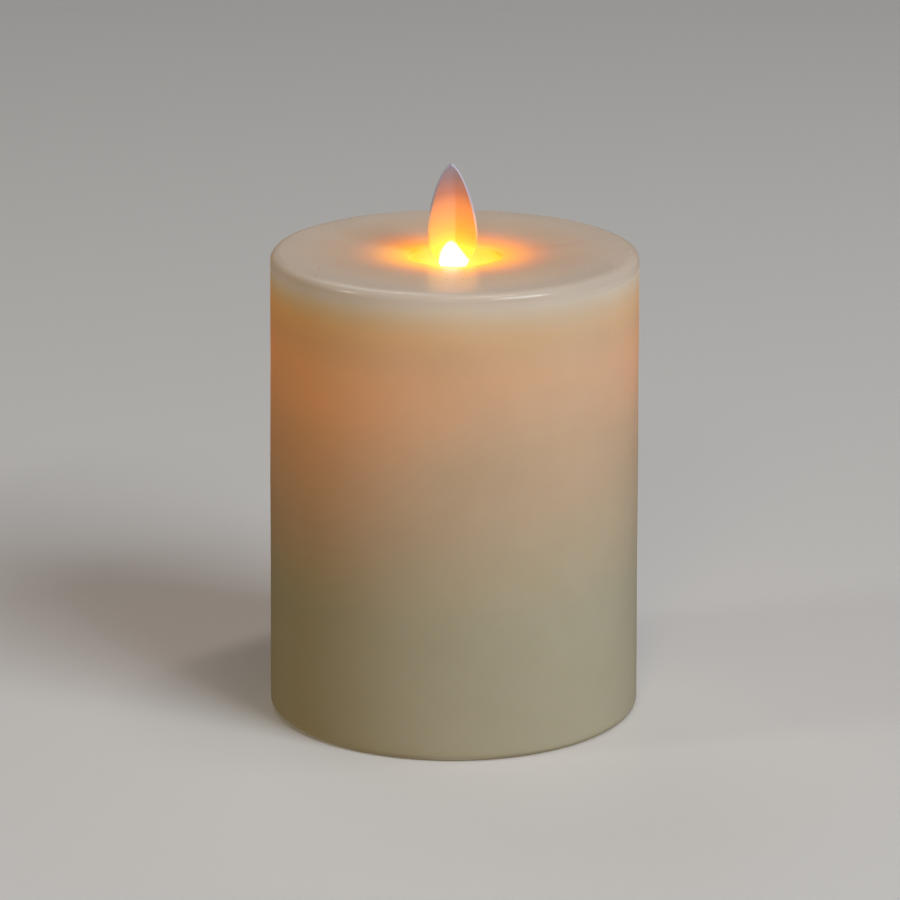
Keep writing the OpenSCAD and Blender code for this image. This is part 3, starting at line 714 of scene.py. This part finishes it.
def blade_mesh():
    """Leaf, neck and tail, with the pivot's boss and bore and the holder of the magnet."""
    swing = next(j for j in frame["joints"] if j["child"] == "flame")
    pivot = Vector(swing["pos_m"])
    lean = Matrix.Translation(pivot) @ Matrix.Rotation(-math.radians(sum(swing["range_deg"]) / 2), 4, "Y")
    upright = lean @ Matrix.Translation(-pivot)
    width, neck_half, tail_half, thick, widest = 0.011, 0.0018, 0.0015, 0.0013, 0.0105
    leaf_z = rim_z - 0.007
    tip = pivot.z + (tip_z - pivot.z) / math.cos(math.radians(sum(swing["range_deg"]) / 2))
    length = tip - leaf_z
    holder_top, magnet_r, magnet_h, wall = pivot.z - 0.0365, 0.003, 0.0024, 0.0009
    holder_low, tail_low = holder_top - 0.003, holder_top - 0.001
    # the last ring stays just short of the tip, where the leaf would have no width
    stem_steps, leaf_steps, last_ring = 8, 72, 0.9988

    rows = [(tail_low + (pivot.z - tail_low) * i / stem_steps, tail_half) for i in range(stem_steps)]
    rows += [(pivot.z + (leaf_z - pivot.z) * i / stem_steps, neck_half) for i in range(stem_steps)]
    for i in range(leaf_steps + 1):
        z = length * math.sin(math.pi / 2 * i / leaf_steps) * last_ring
        rows.append((leaf_z + z, leaf_half(z, length, width, neck_half, widest)))
    rings = []
    for z, half in rows:
        cup = max(0.0, min(1.0, (z - leaf_z) / 0.006))
        thinner = max(0.0, (z - tip + 0.006) / 0.006)
        rings.append(blade_ring(z, half, thick * (1 - 0.3 * thinner), cup * cup * (3 - 2 * cup), 0.0003))
    sheet = mesh_from("flame_leaf", *tube(rings), 60)

    def rod(radius, low, high, across=False):
        """A turned rod along the pivot's axis, or upright."""
        mesh = turned("rod", [(0, low), (radius, low), (radius, high), (0, high)], 48)
        if across:
            mesh.transform(Matrix.Translation(pivot) @ Matrix.Rotation(math.radians(90), 4, "X"))
        return mesh

    boss_r, boss_half, bore_r, bore_half = 0.0024, 0.0012, 0.00048, 0.003
    mesh = combined(
        sheet,
        ("UNION", rod(boss_r, -boss_half, boss_half, across=True)),
        ("UNION", rod(magnet_r + wall, holder_low, holder_top)),
        ("DIFFERENCE", rod(bore_r, -bore_half, bore_half, across=True)),
        ("DIFFERENCE", rod(magnet_r, holder_low - 0.001, holder_low + magnet_h)),
    )
    marks = mesh.attributes.new("edge", "FLOAT", "POINT")
    for v in mesh.vertices:
        half = leaf_half(v.co.z - leaf_z, length, width, neck_half, widest)
        inside = half - abs(v.co.x)
        marks.data[v.index].value = 1.0 if v.co.z > leaf_z and inside < thick * 0.3 else 0.0
    mesh.name = "flame_leaf"
    mesh.transform(upright)
    return shade(mesh, 50)


# ---- coil and cells ----

def winding_mesh():
    """Wire wound in level turns, as a ribbed ring."""
    low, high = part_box("coil_winding")
    outer, inner, wire = high.x, 0.00305, 0.00028
    turns = round((high.z - low.z) / wire)
    pitch = (high.z - low.z) / turns
    loop = [(inner, high.z), (inner, low.z)]
    for i in range(turns):
        centre = (outer - pitch / 2, low.z + pitch * (i + 0.5))
        loop += arc(centre, pitch / 2, -80, 80, 6)
    return revolve("wound_coil", lambda angle: loop, 96, 60)


def cell_mesh(name, node):
    """A round cell: sleeve crimped over both ends, raised pole at one and flat plate at the other."""
    low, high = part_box(node)
    radius = (high.y - low.y) / 2
    side = 1 if high.x > -low.x else -1
    start, end = (low.x, high.x) if side > 0 else (-high.x, -low.x)
    nub_h, nub_r, shrink = 0.0013, 0.0027, 0.00006
    shoulder = end - nub_h
    profile = [(0, start), (0.0050, start)]
    profile += [(0.0054, start + 0.0002), (0.0060, start + 0.0002)]
    profile += arc((radius - 0.0006, start + 0.0006), 0.0006, -90, 0, 6)
    profile += [(radius, start + 0.0016), (radius - shrink, start + 0.0019)]
    profile += [(radius - shrink, shoulder - 0.0019), (radius, shoulder - 0.0016)]
    profile += arc((radius - 0.0006, shoulder - 0.0006), 0.0006, 0, 90, 6)
    profile += [(0.0060, shoulder - 0.00005), (0.0057, shoulder - 0.0003), (0.0040, shoulder - 0.0003)]
    profile += [(0.0034, shoulder - 0.00005), (nub_r, shoulder)]
    profile += arc((nub_r - 0.0003, shoulder + nub_h - 0.0003), 0.0003, 0, 90, 4)
    profile += [(0, shoulder + nub_h)]
    mesh = turned(name, profile, 72, 40)
    centre = Matrix.Translation((0, (low.y + high.y) / 2, (low.z + high.z) / 2))
    mesh.transform(centre @ Matrix.Rotation(math.radians(90 * side), 4, "Y"))
    return mesh


# ---- build ----

looks = build_looks()
add_piece("wax_pillar", dent(wax_mesh(), PITS), "wax_shell")
add_piece("flame_leaf", blade_mesh(), "flame_blade")
add_piece("coil_wound", winding_mesh(), "coil_winding")
cell_front = add_piece("cell_front", cell_mesh("cell_front", "battery_front"), "battery_front")
cell_rear = add_piece("cell_rear", cell_mesh("cell_rear", "battery_rear"), "battery_rear")

# Edge rounding in metres for the carried-over nodes; wires and springs are subdivided instead
EDGES = {
    "throat_cup": 0.0002, "tail_magnet": 0.0002, "core_left": 0.00025, "core_right": 0.00025,
    "core_screws": 0.0001, "board_screws": 0.0001, "base_screws": 0.0001, "switch_screws": 0.0001,
    "coil_bobbin": 0.0002, "circuit_board": 0.0001, "controller_chip": 0.00006, "drive_transistors": 0.00005,
    "board_capacitor": 0.0002, "timer_crystal": 0.0002, "board_resistors": 0.00006,
    "base_shell": 0.0003, "battery_door": 0.0003, "positive_contact": 0.0001, "negative_contact": 0.0001,
    "bridge_contact": 0.0001, "switch_frame": 0.00015, "switch_slider": 0.0002, "switch_terminals": 0.0001,
}
WIRES = (
    "led_leads", "led_wire_red", "led_wire_black", "coil_wires", "battery_wire_red",
    "battery_wire_black", "switch_wires", "contact_springs",
)
for name, node in nodes.items():
    if not node.hide_render:
        finish_cad(name, looks[slot_of[name]], EDGES.get(name, 0), 1 if name in WIRES else 0)


# ---- stage ----

def add_light(name, place, aim, size, power, colour=(1, 1, 1), shine=True):
    """A rectangular lamp; without shine it leaves no highlight."""
    data = bpy.data.lights.new(name, "AREA")
    data.shape, data.size, data.size_y = "RECTANGLE", size[0], size[1]
    data.energy, data.color = power, colour
    light = bpy.data.objects.new(name, data)
    bpy.context.scene.collection.objects.link(light)
    light.location = place
    light.rotation_euler = (Vector(aim) - Vector(place)).to_track_quat("-Z", "Y").to_euler()
    light.visible_glossy = shine
    return light


def add_floor():
    bpy.ops.mesh.primitive_plane_add(size=8)
    floor = bpy.context.object
    floor.name = "floor"
    paint = Look("floor_paint", roughness=0.6)
    paint.set("Base Color", paint.mix(paint.noise(0.6, 2), (0.82, 0.79, 0.77), (0.86, 0.83, 0.81)))
    # seen from below the floor is clear, so that the base and its open door show
    behind = paint.node("ShaderNodeNewGeometry").outputs["Backfacing"]
    paint.set("Alpha", paint.math("SUBTRACT", 1.0, behind))
    floor.data.materials.append(paint.material)
    # its bounce and reflection are left off the candle, which stands in fairly dark surroundings
    floor.visible_diffuse = False
    floor.visible_glossy = False
    floor.visible_shadow = False


def add_world():
    world = bpy.data.worlds.new("studio")
    world.use_nodes = True
    backdrop = world.node_tree.nodes["Background"]
    backdrop.inputs[0].default_value = (1.0, 0.98, 0.95, 1)
    strength = world.node_tree.nodes.new("ShaderNodeMapRange")
    seen = world.node_tree.nodes.new("ShaderNodeLightPath").outputs["Is Camera Ray"]
    world.node_tree.links.new(seen, strength.inputs[0])
    strength.inputs[3].default_value, strength.inputs[4].default_value = 0.03, 0.5
    world.node_tree.links.new(strength.outputs[0], backdrop.inputs[1])
    bpy.context.scene.world = world
    bpy.context.scene.view_settings.view_transform = "Standard"


def add_camera():
    camera = bpy.data.objects.new("camera", bpy.data.cameras.new("camera"))
    bpy.context.scene.collection.objects.link(camera)
    camera.data.lens, camera.data.sensor_width = 159.5, 36
    camera.data.clip_start, camera.data.clip_end = 0.01, 50
    camera.location = (0, -0.8575, 0.3138)
    pitch, pan, roll = 16.56, 0.062, 0.105
    aim = Euler((math.radians(90 - pitch), 0, math.radians(pan))).to_quaternion()
    camera.rotation_mode = "QUATERNION"
    camera.rotation_quaternion = aim @ Euler((0, 0, math.radians(roll))).to_quaternion()
    bpy.context.scene.camera = camera


middle = (0, 0, 0.06)
add_floor()
add_world()
add_light("key", (1.50, -1.30, 1.60), middle, (1.2, 1.2), 30, (0.78, 0.92, 1.02))
add_light("strip", (1.40, -1.45, 1.35), middle, (1.4, 0.06), 8, (0.96, 0.89, 0.79))
add_light("front", (-0.30, -2.00, 1.20), middle, (0.3, 0.12), 1.2, (1.0, 0.94, 0.85))
add_light("fill", (-0.30, -2.00, 1.20), middle, (0.6, 0.4), 3.1, (1.0, 0.64, 0.23), shine=False)
add_light("left", (-1.90, -0.55, 1.25), middle, (0.35, 0.5), 4.6, (0.95, 1.0, 0.88))
add_light("overhead", (0.31, -0.30, 2.3), middle, (1.4, 0.16), 8.4, (1.0, 0.87, 0.82))
add_light("back", (-0.5, 1.4, 2.0), middle, (1.0, 1.0), 4)
# lights nothing but the base and the cells in it, which face down
underside = bpy.data.collections.new("underside")
for name in ("base_shell", "base_screws", "battery_door", "switch_frame", "switch_slider", "switch_screws",
             "positive_contact", "negative_contact", "bridge_contact", "contact_springs"):
    underside.objects.link(nodes[name])
for piece in (cell_front, cell_rear):
    underside.objects.link(piece)
under = add_light("under", (0.5, -0.9, -1.5), middle, (1.2, 1.2), 26)
under.light_linking.receiver_collection = underside
# a narrow lamp straight below, for the foot of the wax
add_light("foot", (0, 0, -1.5), middle, (0.07, 0.07), 4)
add_camera()
